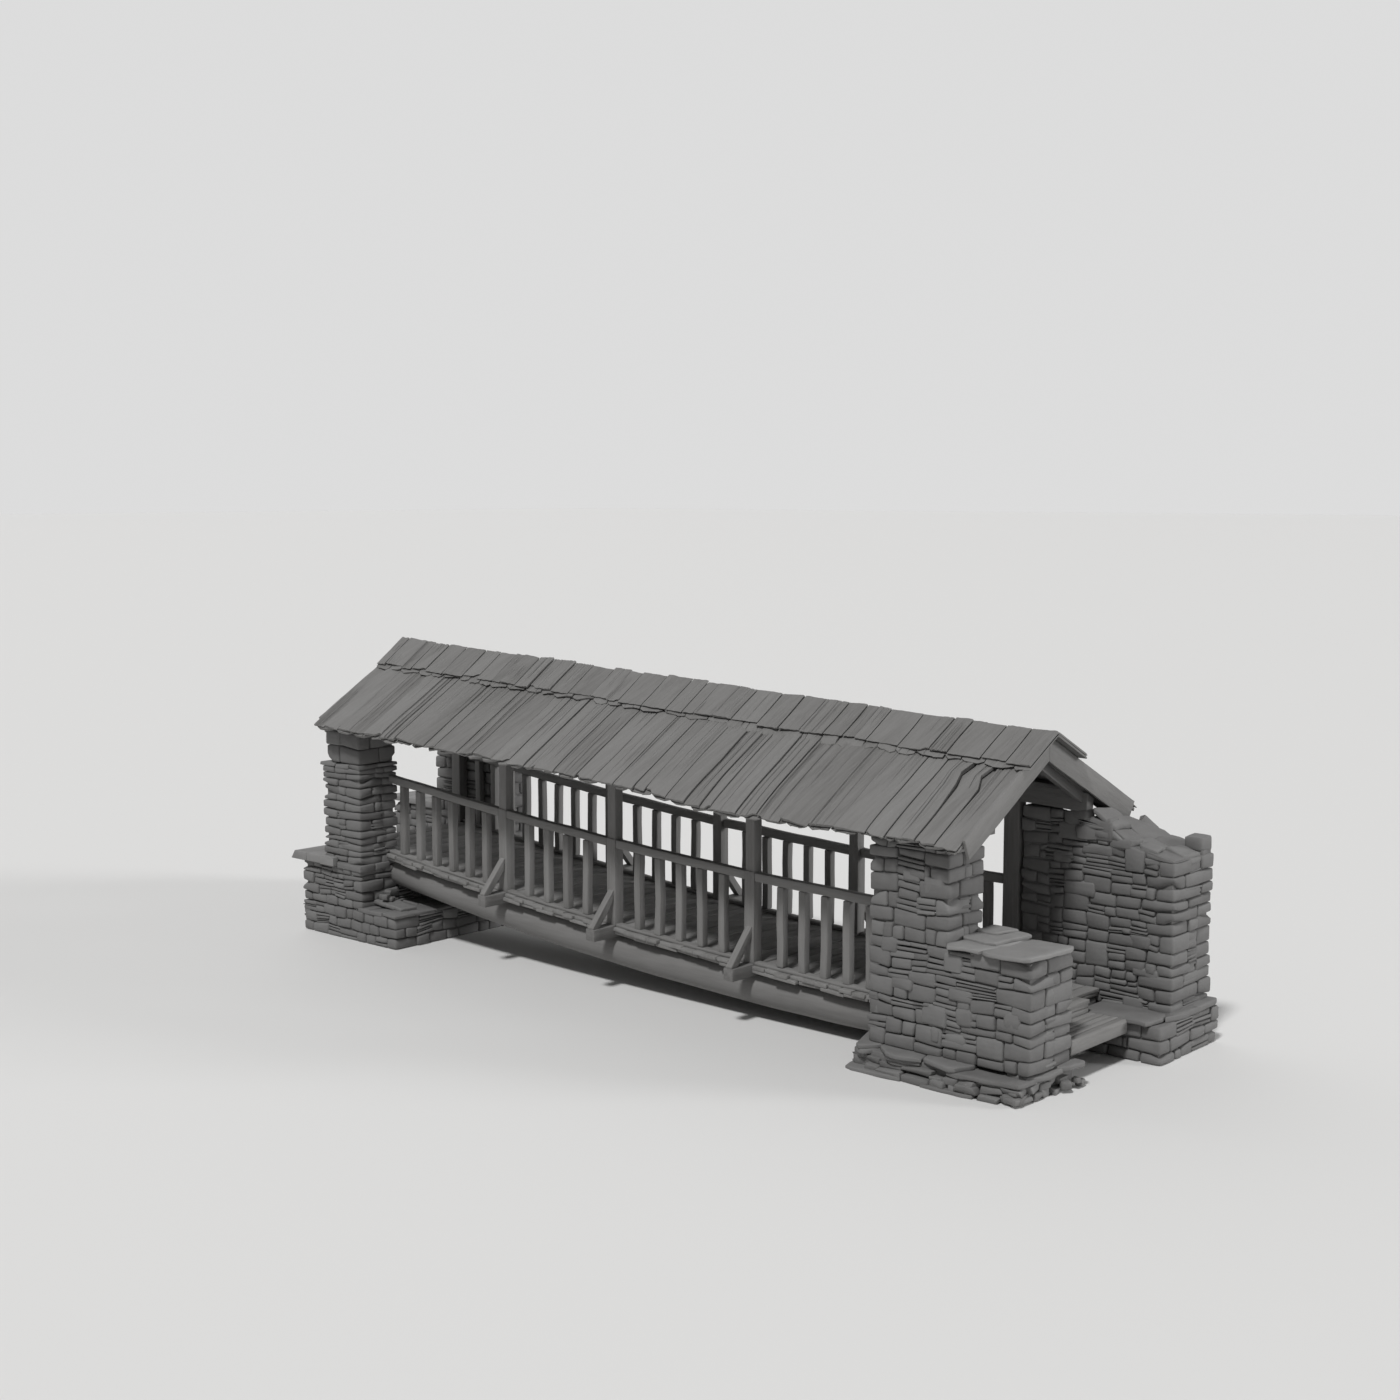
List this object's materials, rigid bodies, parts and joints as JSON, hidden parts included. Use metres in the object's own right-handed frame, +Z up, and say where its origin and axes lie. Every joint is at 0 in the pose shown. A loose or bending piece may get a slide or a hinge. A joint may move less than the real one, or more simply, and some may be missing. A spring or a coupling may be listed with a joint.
{
  "type": "covered footbridge",
  "caption": "Rustic covered footbridge: a sagging plank deck on log girders with post and baluster rails, under a gable roof of riven boards between fieldstone piers.",
  "frame": {"origin": "on the ground, under the centre of the bounding box", "axes": "+X along the walk towards the low end, +Y across the walk to the back, +Z up"},
  "size_m": [13.963, 3.9274, 4.1574],
  "materials": {
    "fieldstone": "rough, weathered",
    "ledge_stone": "rough, split",
    "cap_stone": "rough slabs",
    "hewn_timber": "weathered, hewn",
    "sheltered_timber": "weathered, sawn",
    "log_timber": "weathered, peeled",
    "riven_boards": "silvered, riven grain"
  },
  "bodies": {
    "root": {"left_abutment": "fieldstone", "front_rubble_bank": "ledge_stone", "back_rubble_bank": "ledge_stone", "front_left_pier": "fieldstone", "front_left_cap": "cap_stone", "back_left_pier": "fieldstone", "back_left_wing": "fieldstone", "back_left_cap": "cap_stone", "right_abutment": "fieldstone", "right_ledge": "ledge_stone", "front_right_pier": "fieldstone", "front_right_wing": "fieldstone", "front_right_cap": "cap_stone", "back_right_wall": "fieldstone", "back_right_foot": "ledge_stone", "front_log": "log_timber", "back_log": "log_timber", "log_bearers": "sheltered_timber", "cross_beams": "hewn_timber", "deck_underboards": "sheltered_timber", "deck_boards": "riven_boards", "left_threshold": "riven_boards", "right_threshold": "riven_boards", "front_sill": "hewn_timber", "back_sill": "hewn_timber", "front_posts": "hewn_timber", "back_posts": "hewn_timber", "front_handrail": "hewn_timber", "back_handrail": "hewn_timber", "front_balusters": "hewn_timber", "back_balusters": "hewn_timber", "front_braces": "hewn_timber", "back_braces": "hewn_timber", "front_plate": "sheltered_timber", "back_plate": "sheltered_timber", "front_rafters": "sheltered_timber", "back_rafters": "sheltered_timber", "front_battens": "sheltered_timber", "back_battens": "sheltered_timber", "front_lower_boards": "riven_boards", "back_lower_boards": "riven_boards", "front_upper_boards": "riven_boards", "back_upper_boards": "riven_boards", "front_left_barge": "riven_boards", "back_left_barge": "riven_boards", "front_right_barge": "riven_boards", "back_right_barge": "riven_boards"}
  },
  "joints": []
}
